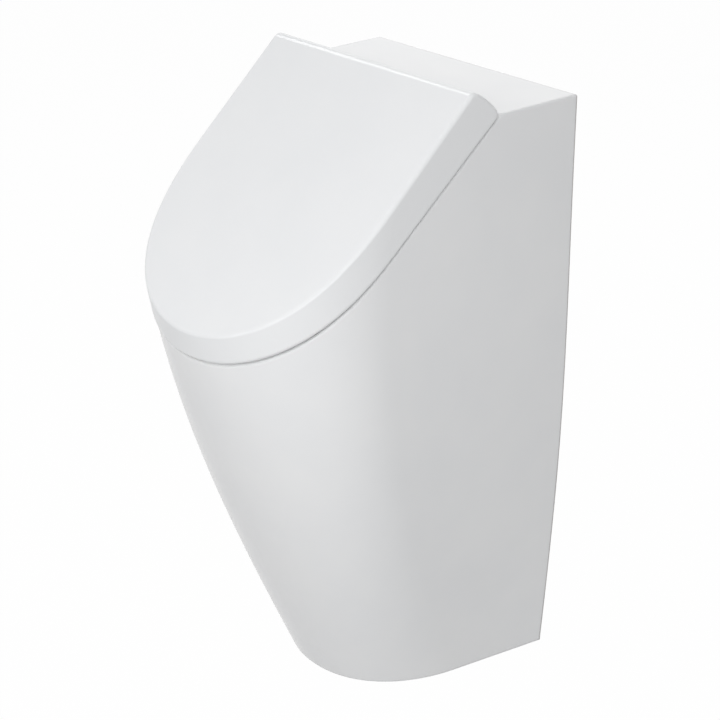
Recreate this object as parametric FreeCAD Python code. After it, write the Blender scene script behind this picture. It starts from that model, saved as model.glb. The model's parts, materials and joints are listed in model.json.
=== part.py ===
import FreeCAD, Part
import math
import os

# Wall-hung urinal: a glazed china body cut on a slant and closed by a soft-close lid on two hinges,
# with its flush inlet, drain and bottle trap inside.
# Frame: X across, Y towards the wall with the wall face at 0, Z up; the origin lies on the wall face,
# midway between the two stud holes. Lengths are in millimetres, angles in degrees.

# Fits and cuts
OVERRUN = 20.0
RUNNING_CLEARANCE = 0.05
SEAT_CLEARANCE = 0.3
ROUND_SHARE = 0.5523

# Outer form of the body, from the top shelf down to the open bottom
BODY_WIDTH = 285.0
BODY_HEIGHT = 630.0
FORM_DEPTH = 391.0
SHELF_DEPTH = 101.0
RIM_SLOPE = 39.4
STUD_DROP = 82.0
STATION_DROP_SHARES = (-0.08, 0.0, 0.2, 0.4, 0.6, 0.8, 1.0, 1.08)
STATION_WIDTH_SHARES = (1.0, 1.002, 1.014, 1.03, 1.025, 0.988, 0.933, 0.907)
STATION_DEPTH_SHARES = (1.0, 1.0, 0.973, 0.908, 0.812, 0.693, 0.559, 0.502)
STATION_TAPER_SHARES = (0.008, 0.008, 0.008, 0.021, 0.057, 0.115, 0.193, 0.226)
STATION_NOSE_SHARES = (0.42, 0.42, 0.37, 0.347, 0.352, 0.395, 0.496, 0.55)
TOP_EDGE_RADIUS = 2.0
BOTTOM_EDGE_RADIUS = 2.5

# China walls, bowl and back panels
CHINA_WALL = 12.0
RIM_WIDTH = 23.0
RIM_INNER_RADIUS = 6.0
HINGE_LAND = 65.0
LAND_THICKNESS = 14.0
SHELF_THICKNESS = 14.0
PANEL_THICKNESS = 14.0
UPPER_PANEL_DROP = 190.0
LOWER_PANEL_HEIGHT = 42.0
TRAP_ROOM = 164.0
BOWL_SETBACK = 95.0
BOWL_SQUARENESS = 2.8
BOWL_POINTS = 20
BOWL_DROP_SHARES = (-0.08, 0.09, 0.25, 0.45, 0.65, 0.82, 0.94, 1.0)
BOWL_CLOSING_SHARES = (0.0, 0.0, 0.0, 0.0, 0.1, 0.38, 0.76, 1.0)
BOWL_BACK_SHARES = (1.0, 1.0, 0.5, 0.15, 0.0, 0.0, 0.0, 0.0)
BOWL_PART_HEIGHT = 176.0
SUMP_RADIUS = 40.0
DRAIN_SETBACK = 145.0

# Wall fixings
STUD_SPACING = 150.0
STUD_HOLE_RADIUS = 5.25
SLEEVE_WALL = 1.7
SLEEVE_FLANGE_RADIUS = 14.0
SLEEVE_FLANGE = 3.0
STUD_WASHER_RADIUS = 12.0
STUD_WASHER = 2.5
SCREW_SPACING = 150.0
SCREW_HOLE_RADIUS = 4.5

# Lid
LID_GAP = 1.0
LID_OVERHANG = 2.0
LID_WALL = 5.0
LID_HEIGHT = 46.4
LID_FALL = 2.86
LID_LENGTH_MARGIN = 60.0
HEEL_TOP_ALONG = 10.5
HEEL_MIDDLE_ALONG = 2.6
HEEL_LOW_ALONG = 0.4
HEEL_TOP_RADIUS = 9.0
HEEL_LOW_RADIUS = 9.0
LID_EDGE_RADIUS = 4.0
BUFFER_RADIUS = 6.0
BUFFER_HEIGHT = 5.0
BUFFER_STEM_RADIUS = 2.5
BUFFER_STEM = 6.0
BUFFER_BOSS_WALL = 1.5
BUFFER_ALONG = 135.0

# Hinges
HINGE_ALONG = 14.0
HINGE_ABOVE = 23.0
HINGE_INSET = 52.5
PIN_RADIUS = 4.0
EYE_RADIUS = 7.5
EYE_LENGTH = 12.0
NECK_THICKNESS = 8.0
FOOT_ALONG = 38.0
FOOT_RADIUS = 10.0
FOOT_THICKNESS = 3.0
PAD_THICKNESS = 1.0
NOTCH_CLEARANCE = 1.0
HINGE_STUD_RADIUS = 4.0
HINGE_HOLE_RADIUS = 7.0
HINGE_WASHER_RADIUS = 10.0
HINGE_WASHER = 2.0
HINGE_NUT_ACROSS = 13.0
HINGE_NUT = 6.5
STUD_TIP = 3.0
EAR_THICKNESS = 8.0
EAR_ALONG = 11.0
EAR_BELOW = 10.0
BUSH_RADIUS = 6.0
BUSH_FLANGE = 1.5
BUSH_FLANGE_RADIUS = 7.5
EYE_SIDE_GAP = 1.3
DAMPER_RADIUS = 7.0
DAMPER_LENGTH = 54.0
DAMPER_BORE_DEPTH = 15.0

# Flush inlet
INLET_DROP = 114.0
NOZZLE_TAIL_RADIUS = 13.0
NOZZLE_BORE_RADIUS = 9.0
NOZZLE_FLANGE_RADIUS = 19.0
NOZZLE_FLANGE = 4.0
NOZZLE_HEAD_RADIUS = 13.0
NOZZLE_HEAD = 18.0
NOZZLE_SLOT = 7.0
NOZZLE_SEAL = 2.0
NOZZLE_SINK = 2.0
NOZZLE_TAIL_REST = 26.0
NOZZLE_BOSS_RADIUS = 26.0
NOZZLE_WASHER = 2.0
NOZZLE_WASHER_RADIUS = 21.0
NOZZLE_NUT = 8.0
NOZZLE_NUT_ACROSS = 34.0
INLET_TUBE_WALL = 3.0
INLET_SOCKET_STEP = 1.0
INLET_SOCKET_DEPTH = 45.0
INLET_RELIEF_STEP = 0.5
INLET_RELIEF = 5.0
INLET_SEAL_WIDTH = 4.0
INLET_SEAL_LIP = 3.0

# Drain and strainer
GASKET_THICKNESS = 2.0
DRAIN_FLANGE_RADIUS = 34.0
DRAIN_FLANGE = 4.0
TAIL_RADIUS = 22.0
TAIL_WALL = 3.0
TAIL_LENGTH = 122.0
RECESS_RADIUS = 28.0
RECESS_DEPTH = 2.5
DRAIN_HOLE_RADIUS = 24.0
FLOOR_THICKNESS = 14.0
UNDER_WASHER = 3.0
DRAIN_NUT = 10.0
DRAIN_NUT_RADIUS = 33.0
DRAIN_NUT_GRIPS = 8
GRIP_RADIUS = 2.5
STRAINER_THICKNESS = 2.0
STRAINER_CROWN = 4.0
STRAINER_ARC_SHARES = ((1.0, 0.0), (0.5, 0.75), (0.0, 1.0))
STRAINER_HOLE_RADIUS = 2.2
STRAINER_RING_COUNTS = (6, 12)
STRAINER_RING_SHARES = (0.36, 0.68)

# Bottle trap and waste outlet
TRAP_RADIUS = 40.0
TRAP_WALL = 3.0
TRAP_TOP_DROP = 36.0
TRAP_BODY_HEIGHT = 62.0
COLLAR_HEIGHT = 7.0
COLLAR_WALL = 3.0
TAIL_SEAL_WIDTH = 4.0
TAIL_SEAL_HEIGHT = 5.0
CUP_HEIGHT = 64.0
CUP_LAP = 12.0
CUP_WALL = 3.5
TRAP_SEAL_HEIGHT = 3.0
OUTLET_DROP = 64.0
OUTLET_RADIUS = 25.0
OUTLET_WALL = 3.0
OUTLET_LAP = 15.0
OUTLET_NUT_GAP = 15.2
OUTLET_SEAL = 10.0
OUTLET_NUT_WALL = 6.0
OUTLET_NUT_LIP = 3.0
OUTLET_NUT_LAP = 9.0
OUTLET_STOP = 3.0
OUTLET_STOP_STEP = 3.0

# Places worked out from the sizes above
TOP = STUD_DROP
BOTTOM = TOP - BODY_HEIGHT
HALF_WIDTH = BODY_WIDTH / 2
SLOPE = math.radians(RIM_SLOPE)
FAR_ALONG = (FORM_DEPTH - SHELF_DEPTH) / math.cos(SLOPE) + LID_LENGTH_MARGIN
HINGE_X = HALF_WIDTH - HINGE_INSET
FLOOR = BOTTOM + TRAP_ROOM
BOWL_DROP = TOP - FLOOR
INLET_Z = TOP - INLET_DROP
OUTLET_Z = FLOOR - OUTLET_DROP
CUP_RADIUS = TRAP_RADIUS + SEAT_CLEARANCE + CUP_WALL
OUTLET_SPIGOT_LENGTH = DRAIN_SETBACK - CUP_RADIUS - OUTLET_NUT_GAP - OUTLET_NUT_LIP - OUTLET_SEAL
LAND_END = SHELF_DEPTH + HINGE_LAND * math.cos(SLOPE)

ACROSS = FreeCAD.Vector(1, 0, 0)
TO_WALL = FreeCAD.Vector(0, 1, 0)
UP = FreeCAD.Vector(0, 0, 1)
RIM_UP = FreeCAD.Vector(0, -math.sin(SLOPE), math.cos(SLOPE))


# Shared shapes

def rim_point(along, above):
    """Point (y, z) at a distance down the slanted rim from the shelf edge and a height above the rim."""
    y = -SHELF_DEPTH - along * math.cos(SLOPE) - above * math.sin(SLOPE)
    z = TOP - along * math.sin(SLOPE) + above * math.cos(SLOPE)
    return y, z


def on_rim(x, along, above):
    """The same point as a vector, at a place across the body."""
    y, z = rim_point(along, above)
    return FreeCAD.Vector(x, y, z)


def share_at(share, stations, values):
    """Value at a share of the drop, straight between the stations."""
    for low, high, a, b in zip(stations, stations[1:], values, values[1:]):
        if share <= high:
            return a + (b - a) * (share - low) / (high - low)
    return values[-1]


def prism(outline, x_low, x_high):
    """Side outline of (y, z) points, carried across from x_low to x_high."""
    corners = [FreeCAD.Vector(x_low, y, z) for y, z in outline]
    face = Part.Face(Part.makePolygon(corners + corners[:1]))
    return face.extrude(ACROSS * (x_high - x_low))


def rod(radius, start, axis, length):
    return Part.makeCylinder(radius, length, start, axis)


def tube(outer, inner, start, axis, length):
    return rod(outer, start, axis, length).cut(rod(inner, start, axis, length))


def turned(outline, centre, axis):
    """Closed outline of (radius, height) points turned about an axis through a centre."""
    corners = [FreeCAD.Vector(radius, 0, height) for radius, height in outline]
    face = Part.Face(Part.makePolygon(corners + corners[:1]))
    solid = face.revolve(FreeCAD.Vector(), UP, 360)
    solid.Placement = FreeCAD.Placement(centre, FreeCAD.Rotation(UP, axis))
    return solid


def hexagon_nut(across, bore, start, axis, height):
    corner = across / math.sqrt(3)
    angles = [math.radians(60 * i) for i in range(7)]
    outline = [FreeCAD.Vector(corner * math.cos(a), corner * math.sin(a), 0) for a in angles]
    nut = Part.Face(Part.makePolygon(outline)).extrude(UP * height)
    nut.Placement = FreeCAD.Placement(start, FreeCAD.Rotation(UP, axis))
    return nut.cut(rod(bore, start, axis, height))


def group(solids):
    return Part.makeCompound(solids)


def sides():
    return (-1, 1)


# Body

def form_wire(station, grow):
    """Flat D-shaped outline of the body at one station, grown sideways and forwards."""
    half = HALF_WIDTH * STATION_WIDTH_SHARES[station] + grow
    depth = FORM_DEPTH * STATION_DEPTH_SHARES[station]
    taper = STATION_TAPER_SHARES[station]
    nose = depth * STATION_NOSE_SHARES[station] + grow
    depth += grow
    z = TOP - BODY_HEIGHT * STATION_DROP_SHARES[station]
    straight = depth - nose
    shoulder = half - taper * straight
    reach = ROUND_SHARE * nose
    behind = half + taper * OVERRUN
    right = [
        FreeCAD.Vector(shoulder, -straight, z),
        FreeCAD.Vector(shoulder - taper * reach, -straight - reach, z),
        FreeCAD.Vector(shoulder * ROUND_SHARE, -depth, z),
    ]
    left = [FreeCAD.Vector(-p.x, p.y, p.z) for p in reversed(right)]
    front = Part.BSplineCurve()
    front.buildFromPolesMultsKnots(right + left, (4, 2, 4), (0, 1, 2), False, 3)
    back_right = FreeCAD.Vector(behind, OVERRUN, z)
    back_left = FreeCAD.Vector(-behind, OVERRUN, z)
    edges = [
        Part.makeLine(back_left, back_right),
        Part.makeLine(back_right, right[0]),
        front.toShape(),
        Part.makeLine(left[-1], back_left),
    ]
    return Part.Wire(edges)


def form(grow):
    """Whole outer form, past the top, the bottom and the wall face."""
    stations = range(len(STATION_DROP_SHARES))
    return Part.makeLoft([form_wire(station, grow) for station in stations], True, False)


def body_half_width(drop_share):
    return HALF_WIDTH * share_at(drop_share, STATION_DROP_SHARES, STATION_WIDTH_SHARES)


def body_depth(drop_share):
    return FORM_DEPTH * share_at(drop_share, STATION_DROP_SHARES, STATION_DEPTH_SHARES)


def bowl_back(drop):
    """Distance of the bowl's back wall from the wall face, at a drop below the shelf."""
    share = share_at(drop / BOWL_DROP, BOWL_DROP_SHARES, BOWL_BACK_SHARES)
    return BOWL_SETBACK + share * (LAND_END - BOWL_SETBACK)


def bowl_wire(station, grow):
    """Rounded outline of the bowl at one station: an ellipse in front, a flatter curve behind."""
    drop = BOWL_DROP * BOWL_DROP_SHARES[station]
    closing = BOWL_CLOSING_SHARES[station]
    body_share = drop / BODY_HEIGHT
    half = (1 - closing) * (body_half_width(body_share) - RIM_WIDTH) + closing * SUMP_RADIUS + grow
    front = (1 - closing) * (body_depth(body_share) - RIM_WIDTH) + closing * (DRAIN_SETBACK + SUMP_RADIUS)
    back = (1 - closing) * bowl_back(drop) + closing * (DRAIN_SETBACK - SUMP_RADIUS)
    middle = (front + back) / 2
    reach = (front - back) / 2 + grow
    power = 2 / (BOWL_SQUARENESS + closing * (2 - BOWL_SQUARENESS))
    floor = FLOOR_THICKNESS * closing if grow else 0
    z = TOP - drop - floor
    points = []
    for i in range(BOWL_POINTS):
        angle = 2 * math.pi * i / BOWL_POINTS
        across, along = math.cos(angle), math.sin(angle)
        bend = power if along > 0 else 1
        x = half * math.copysign(abs(across) ** bend, across)
        y = reach * math.copysign(abs(along) ** bend, along) - middle
        points.append(FreeCAD.Vector(x, y, z))
    curve = Part.BSplineCurve()
    curve.interpolate(points, PeriodicFlag=True)
    return Part.Wire(curve.toShape())


def bowl(grow):
    stations = range(len(BOWL_DROP_SHARES))
    return Part.makeLoft([bowl_wire(station, grow) for station in stations], True, False)


def on_rim_plane(edge):
    """True where an edge lies in the slanted rim plane."""
    base = on_rim(0, 0, 0)
    ends = [edge.valueAt(edge.FirstParameter), edge.valueAt(edge.LastParameter)]
    middle = edge.valueAt((edge.FirstParameter + edge.LastParameter) / 2)
    return all(abs((p - base).dot(RIM_UP)) < RUNNING_CLEARANCE for p in ends + [middle])


def at_height(edge, z):
    return abs(edge.BoundBox.ZMin - z) + abs(edge.BoundBox.ZMax - z) < RUNNING_CLEARANCE


def under_rim():
    """Side outline of everything below the shelf and the slanted rim, in front of the wall face."""
    far_y, far_z = rim_point(FAR_ALONG, 0)
    return [(0, TOP), (-SHELF_DEPTH, TOP), (far_y, far_z), (far_y, BOTTOM), (0, BOTTOM)]


def body_outside():
    """Outer form cut flat at the wall, the shelf and the bottom, and on the slant of the rim."""
    solid = form(0).common(prism(under_rim(), -BODY_WIDTH, BODY_WIDTH)).Solids[0]
    upper = [e for e in solid.Edges if at_height(e, TOP) or on_rim_plane(e)]
    solid = solid.makeFillet(TOP_EDGE_RADIUS, upper)
    lower = [e for e in solid.Edges if at_height(e, BOTTOM) and e.BoundBox.YMin < -PANEL_THICKNESS]
    return solid.makeFillet(BOTTOM_EDGE_RADIUS, lower)


def shell_space():
    """Space inside the shell, open to the wall between the two back panels and at the bottom."""
    far_y, far_z = rim_point(FAR_ALONG, -LAND_THICKNESS)
    shelf_under = TOP - SHELF_THICKNESS
    turn_along = LAND_THICKNESS / math.sin(SLOPE) * (SHELF_THICKNESS / LAND_THICKNESS - math.cos(SLOPE))
    upper_panel_end = TOP - UPPER_PANEL_DROP
    lower_panel_end = BOTTOM + LOWER_PANEL_HEIGHT
    outline = [
        (-PANEL_THICKNESS, shelf_under),
        rim_point(turn_along, -LAND_THICKNESS),
        (far_y, far_z),
        (far_y, BOTTOM - OVERRUN),
        (-PANEL_THICKNESS, BOTTOM - OVERRUN),
        (-PANEL_THICKNESS, lower_panel_end),
        (OVERRUN, lower_panel_end),
        (OVERRUN, upper_panel_end),
        (-PANEL_THICKNESS, upper_panel_end),
    ]
    return form(-CHINA_WALL).common(prism(outline, -BODY_WIDTH, BODY_WIDTH))


def china_shell():
    """Outer half of the casting: side walls, shelf, hinge land and back panels, round the bowl's outside."""
    solid = body_outside().cut(shell_space()).cut(bowl(CHINA_WALL))
    inlet_start = FreeCAD.Vector(0, OVERRUN, INLET_Z)
    cuts = [rod(inlet_seal_radius(), inlet_start, -TO_WALL, PANEL_THICKNESS + OVERRUN * 2)]
    for side in sides():
        foot = on_rim(side * HINGE_X, FOOT_ALONG, OVERRUN)
        cuts.append(rod(HINGE_HOLE_RADIUS, foot, -RIM_UP, LAND_THICKNESS + OVERRUN * 2))
        stud = FreeCAD.Vector(side * STUD_SPACING / 2, OVERRUN, 0)
        cuts.append(rod(STUD_HOLE_RADIUS + SLEEVE_WALL, stud, -TO_WALL, PANEL_THICKNESS + OVERRUN * 2))
        screw = FreeCAD.Vector(side * SCREW_SPACING / 2, OVERRUN, BOTTOM + LOWER_PANEL_HEIGHT / 2)
        cuts.append(rod(SCREW_HOLE_RADIUS, screw, -TO_WALL, PANEL_THICKNESS + OVERRUN * 2))
    return solid.cut(cuts)


def nozzle_seat():
    """Distance from the wall face of the flat seat that the flush nozzle stands on."""
    return bowl_back(INLET_DROP + NOZZLE_FLANGE_RADIUS) - NOZZLE_SINK


def whole_bowl():
    """Inner half of the casting: the bowl, level with the rim, with a boss for the nozzle and a drain hole."""
    seat = nozzle_seat()
    solid = bowl(CHINA_WALL).common(prism(under_rim(), -BODY_WIDTH, BODY_WIDTH))
    boss_length = LAND_END - seat + CHINA_WALL
    boss = rod(NOZZLE_BOSS_RADIUS, FreeCAD.Vector(0, CHINA_WALL - seat, INLET_Z), -TO_WALL, boss_length)
    solid = solid.fuse(boss).cut(bowl(0))
    rim_edges = [e for e in solid.Edges if on_rim_plane(e)]
    inner = min(rim_edges, key=lambda e: e.Length)
    solid = solid.makeFillet(RIM_INNER_RADIUS, [inner])
    spot_radius = NOZZLE_FLANGE_RADIUS + NOZZLE_SINK
    spot = rod(spot_radius, FreeCAD.Vector(0, -seat, INLET_Z), -TO_WALL, LAND_END - seat)
    inlet_hole = NOZZLE_TAIL_RADIUS + SEAT_CLEARANCE
    tail_hole = rod(inlet_hole, FreeCAD.Vector(0, OVERRUN, INLET_Z), -TO_WALL, seat + OVERRUN * 2)
    drain_start = FreeCAD.Vector(0, -DRAIN_SETBACK, FLOOR - FLOOR_THICKNESS - OVERRUN)
    drain_hole = rod(DRAIN_HOLE_RADIUS, drain_start, UP, FLOOR_THICKNESS + OVERRUN * 2)
    return solid.cut([spot, tail_hole, drain_hole])


def bowl_halves(low, high):
    """Left and right half of the bowl between two heights."""
    whole = whole_bowl()
    outline = [(0, low), (0, high), (-FORM_DEPTH, high), (-FORM_DEPTH, low)]
    blocks = [prism(outline, -BODY_WIDTH, 0), prism(outline, 0, BODY_WIDTH)]
    return group([whole.common(block).Solids[0] for block in blocks])


def bowl_upper():
    return bowl_halves(FLOOR + BOWL_PART_HEIGHT, TOP)


def bowl_lower():
    return bowl_halves(BOTTOM, FLOOR + BOWL_PART_HEIGHT)


# Wall fixings

def fixing_sleeves():
    solids = []
    for side in sides():
        x = side * STUD_SPACING / 2
        start = FreeCAD.Vector(x, 0, 0)
        outer = STUD_HOLE_RADIUS + SLEEVE_WALL - RUNNING_CLEARANCE
        sleeve = tube(outer, STUD_HOLE_RADIUS, start, -TO_WALL, PANEL_THICKNESS)
        flange_at = FreeCAD.Vector(x, -PANEL_THICKNESS, 0)
        flange = tube(SLEEVE_FLANGE_RADIUS, STUD_HOLE_RADIUS, flange_at, -TO_WALL, SLEEVE_FLANGE)
        solids.append(sleeve.fuse(flange).removeSplitter())
    return group(solids)


def fixing_washers():
    y = -PANEL_THICKNESS - SLEEVE_FLANGE
    places = [FreeCAD.Vector(side * STUD_SPACING / 2, y, 0) for side in sides()]
    return group([tube(STUD_WASHER_RADIUS, STUD_HOLE_RADIUS, p, -TO_WALL, STUD_WASHER) for p in places])


# Hinges

def hinge_axis(x):
    return on_rim(x, HINGE_ALONG, HINGE_ABOVE)


def hinge_post(side):
    """Round foot on the rim with a leaning neck that carries the eye of the hinge."""
    x = side * HINGE_X
    foot_top = PAD_THICKNESS + FOOT_THICKNESS
    foot = rod(FOOT_RADIUS, on_rim(x, FOOT_ALONG, PAD_THICKNESS), RIM_UP, FOOT_THICKNESS)
    along, above = FOOT_ALONG - HINGE_ALONG, foot_top - HINGE_ABOVE
    length = math.hypot(along, above)
    aside = NECK_THICKNESS / 2 / length
    lean_along, lean_above = -above * aside, along * aside
    neck_outline = [
        rim_point(HINGE_ALONG + lean_along, HINGE_ABOVE + lean_above),
        rim_point(FOOT_ALONG + lean_along, foot_top + lean_above),
        rim_point(FOOT_ALONG + lean_along, PAD_THICKNESS),
        rim_point(FOOT_ALONG - lean_along, PAD_THICKNESS),
        rim_point(HINGE_ALONG - lean_along, HINGE_ABOVE - lean_above),
    ]
    neck = prism(neck_outline, x - EYE_LENGTH / 2, x + EYE_LENGTH / 2)
    eye_at = hinge_axis(x - EYE_LENGTH / 2)
    post = foot.fuse([neck, rod(EYE_RADIUS, eye_at, ACROSS, EYE_LENGTH)]).removeSplitter()
    bore = rod(PIN_RADIUS + RUNNING_CLEARANCE, eye_at, ACROSS, EYE_LENGTH)
    thread = rod(HINGE_STUD_RADIUS + RUNNING_CLEARANCE, on_rim(x, FOOT_ALONG, 0), RIM_UP, foot_top)
    return post.cut([bore, thread])


def damper_start():
    return HINGE_X - EYE_LENGTH / 2 - EYE_SIDE_GAP


def outer_ear_start():
    return HINGE_X + EYE_LENGTH / 2 + EYE_SIDE_GAP + BUSH_FLANGE


def span(side, near, far):
    """The two ends across of something between two distances from the middle, lower end first."""
    return sorted((side * near, side * far))


def rod_across(radius, side, near, far):
    low, high = span(side, near, far)
    return rod(radius, hinge_axis(low), ACROSS, high - low)


def hinge_pin(side):
    near = damper_start() - DAMPER_BORE_DEPTH + EYE_SIDE_GAP
    return rod_across(PIN_RADIUS, side, near, outer_ear_start() + EAR_THICKNESS)


def hinge_bush(side):
    start = outer_ear_start()
    barrel = rod_across(BUSH_RADIUS - RUNNING_CLEARANCE, side, start, start + EAR_THICKNESS)
    flange = rod_across(BUSH_FLANGE_RADIUS, side, start - BUSH_FLANGE, start)
    bore = rod_across(PIN_RADIUS + RUNNING_CLEARANCE, side, start - BUSH_FLANGE, start + EAR_THICKNESS)
    return barrel.fuse(flange).removeSplitter().cut(bore)


def damper(side):
    start = damper_start()
    barrel = rod_across(DAMPER_RADIUS - RUNNING_CLEARANCE, side, start - DAMPER_LENGTH, start)
    bore = rod_across(PIN_RADIUS + RUNNING_CLEARANCE, side, start - DAMPER_BORE_DEPTH, start)
    return barrel.cut(bore)


def hinge_studs():
    length = PAD_THICKNESS + FOOT_THICKNESS + LAND_THICKNESS + HINGE_WASHER + HINGE_NUT + STUD_TIP
    tops = [on_rim(side * HINGE_X, FOOT_ALONG, PAD_THICKNESS + FOOT_THICKNESS) for side in sides()]
    return group([rod(HINGE_STUD_RADIUS, top, -RIM_UP, length) for top in tops])


def hinge_sleeves():
    """Rubber sleeves in the rim's holes, each with a thin pad under the hinge foot."""
    inner = HINGE_STUD_RADIUS + RUNNING_CLEARANCE
    solids = []
    for side in sides():
        x = side * HINGE_X
        pad = tube(FOOT_RADIUS, inner, on_rim(x, FOOT_ALONG, 0), RIM_UP, PAD_THICKNESS)
        outer = HINGE_HOLE_RADIUS - RUNNING_CLEARANCE
        barrel = tube(outer, inner, on_rim(x, FOOT_ALONG, 0), -RIM_UP, LAND_THICKNESS)
        solids.append(pad.fuse(barrel).removeSplitter())
    return group(solids)


def hinge_washers():
    inner = HINGE_STUD_RADIUS + RUNNING_CLEARANCE
    places = [on_rim(side * HINGE_X, FOOT_ALONG, -LAND_THICKNESS) for side in sides()]
    return group([tube(HINGE_WASHER_RADIUS, inner, p, -RIM_UP, HINGE_WASHER) for p in places])


def hinge_nuts():
    inner = HINGE_STUD_RADIUS + RUNNING_CLEARANCE
    below = -LAND_THICKNESS - HINGE_WASHER
    places = [on_rim(side * HINGE_X, FOOT_ALONG, below) for side in sides()]
    return group([hexagon_nut(HINGE_NUT_ACROSS, inner, p, -RIM_UP, HINGE_NUT) for p in places])


# Lid

def lid_face_above(along):
    return LID_HEIGHT - along * math.tan(math.radians(LID_FALL))


def lid_blank(inset, bottom):
    """Side profile of the lid, wedge-shaped with a rounded heel, carried right across."""
    top_along = HEEL_TOP_ALONG + inset
    top = on_rim(-BODY_WIDTH, top_along, lid_face_above(top_along) - inset)
    far = on_rim(-BODY_WIDTH, FAR_ALONG, lid_face_above(FAR_ALONG) - inset)
    far_low = on_rim(-BODY_WIDTH, FAR_ALONG, bottom)
    low = on_rim(-BODY_WIDTH, HEEL_LOW_ALONG + inset, bottom)
    middle = on_rim(-BODY_WIDTH, HEEL_MIDDLE_ALONG + inset, HINGE_ABOVE)
    heel = Part.Arc(low, middle, top).toShape()
    wire = Part.Wire([heel, Part.makeLine(top, far), Part.makeLine(far, far_low), Part.makeLine(far_low, low)])
    blank = Part.Face(wire).extrude(ACROSS * (BODY_WIDTH * 2))
    top_edges = [e for e in blank.Edges if runs_across_at(e, top)]
    blank = blank.makeFillet(HEEL_TOP_RADIUS - inset, top_edges)
    low_edges = [e for e in blank.Edges if runs_across_at(e, low)]
    return blank.makeFillet(HEEL_LOW_RADIUS - inset, low_edges) if not inset else blank


def runs_across_at(edge, corner):
    box = edge.BoundBox
    aside = abs(box.Center.y - corner.y) + abs(box.Center.z - corner.z)
    return box.XLength > BODY_WIDTH and aside < SEAT_CLEARANCE


def lid_outside():
    solid = form(LID_OVERHANG).common(lid_blank(0, LID_GAP)).Solids[0]
    face_edges = [e for e in solid.Edges if on_lid_face_rim(e)]
    return solid.makeFillet(LID_EDGE_RADIUS, face_edges)


def on_lid_face_rim(edge):
    """True for the edges between the lid's face or heel and its sides, not those round its open bottom."""
    middle = edge.valueAt((edge.FirstParameter + edge.LastParameter) / 2)
    above = (middle - on_rim(0, 0, 0)).dot(RIM_UP)
    runs_across = edge.BoundBox.XLength > BODY_WIDTH and edge.BoundBox.YLength < LID_WALL
    return above > LID_GAP + RUNNING_CLEARANCE and not runs_across


def buffer_places():
    """Two rubber buffers at the sides and one at the front, over the middle of the rim."""
    drop = BUFFER_ALONG * math.sin(SLOPE)
    x = body_half_width(drop / BODY_HEIGHT) - RIM_WIDTH / 2
    front = FAR_ALONG
    while -rim_point(front, 0)[0] > body_depth((TOP - rim_point(front, 0)[1]) / BODY_HEIGHT) - RIM_WIDTH / 2:
        front -= SEAT_CLEARANCE
    return [(-x, BUFFER_ALONG), (x, BUFFER_ALONG), (0, front)]


def lid_shell():
    outside = lid_outside()
    hollow = form(LID_OVERHANG - LID_WALL).common(lid_blank(LID_WALL, LID_GAP - OVERRUN))
    solid = outside.cut(hollow)
    ears = []
    holes = []
    for side in sides():
        start = damper_start()
        outer = outer_ear_start()
        far_ear = start - DAMPER_LENGTH
        flange_hole = BUSH_FLANGE_RADIUS + RUNNING_CLEARANCE
        holes.append(rod_across(BUSH_RADIUS, side, outer, outer + EAR_THICKNESS))
        holes.append(rod_across(flange_hole, side, outer - BUSH_FLANGE - RUNNING_CLEARANCE, outer))
        holes.append(rod_across(DAMPER_RADIUS, side, far_ear - RUNNING_CLEARANCE, start))
        for near in (outer, start - EAR_THICKNESS, far_ear):
            low, high = span(side, near, near + EAR_THICKNESS)
            ear_outline = [
                rim_point(HINGE_ALONG - EAR_ALONG, HINGE_ABOVE - EAR_BELOW),
                rim_point(HINGE_ALONG + EAR_ALONG, HINGE_ABOVE - EAR_BELOW),
                rim_point(HINGE_ALONG + EAR_ALONG, LID_HEIGHT),
                rim_point(HINGE_ALONG - EAR_ALONG, LID_HEIGHT),
            ]
            ears.append(prism(ear_outline, low, high).common(outside))
        notch_low = HINGE_X - EYE_LENGTH / 2 - NOTCH_CLEARANCE
        notch_high = HINGE_X + EYE_LENGTH / 2 + NOTCH_CLEARANCE
        low, high = span(side, notch_low, notch_high)
        notch_top = HINGE_ABOVE + EYE_RADIUS + NOTCH_CLEARANCE
        notch_outline = [
            rim_point(HINGE_ALONG, LID_GAP - OVERRUN),
            rim_point(HINGE_ALONG, notch_top),
            rim_point(-OVERRUN, notch_top),
            rim_point(-OVERRUN, LID_GAP - OVERRUN),
        ]
        holes.append(prism(notch_outline, low, high))
    for x, along in buffer_places():
        radius = BUFFER_RADIUS + BUFFER_BOSS_WALL
        boss = rod(radius, on_rim(x, along, BUFFER_HEIGHT), RIM_UP, LID_HEIGHT)
        ears.append(boss.common(outside))
        stem_hole = BUFFER_STEM_RADIUS + RUNNING_CLEARANCE
        holes.append(rod(stem_hole, on_rim(x, along, BUFFER_HEIGHT), RIM_UP, BUFFER_STEM + SEAT_CLEARANCE))
    return solid.fuse(ears).removeSplitter().cut(holes)


def lid_buffers():
    solids = []
    for x, along in buffer_places():
        foot = on_rim(x, along, SEAT_CLEARANCE)
        pad = rod(BUFFER_RADIUS, foot, RIM_UP, BUFFER_HEIGHT - SEAT_CLEARANCE)
        stem = rod(BUFFER_STEM_RADIUS, on_rim(x, along, BUFFER_HEIGHT), RIM_UP, BUFFER_STEM)
        solids.append(pad.fuse(stem).removeSplitter())
    return group(solids)


# Flush inlet

def at_inlet(y):
    return FreeCAD.Vector(0, y, INLET_Z)


def inlet_seal_radius():
    return NOZZLE_TAIL_RADIUS + RUNNING_CLEARANCE + INLET_TUBE_WALL + INLET_SEAL_WIDTH


def tail_end():
    """Distance from the wall face of the back end of the nozzle's tail."""
    return nozzle_seat() - CHINA_WALL - NOZZLE_TAIL_REST


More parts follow.
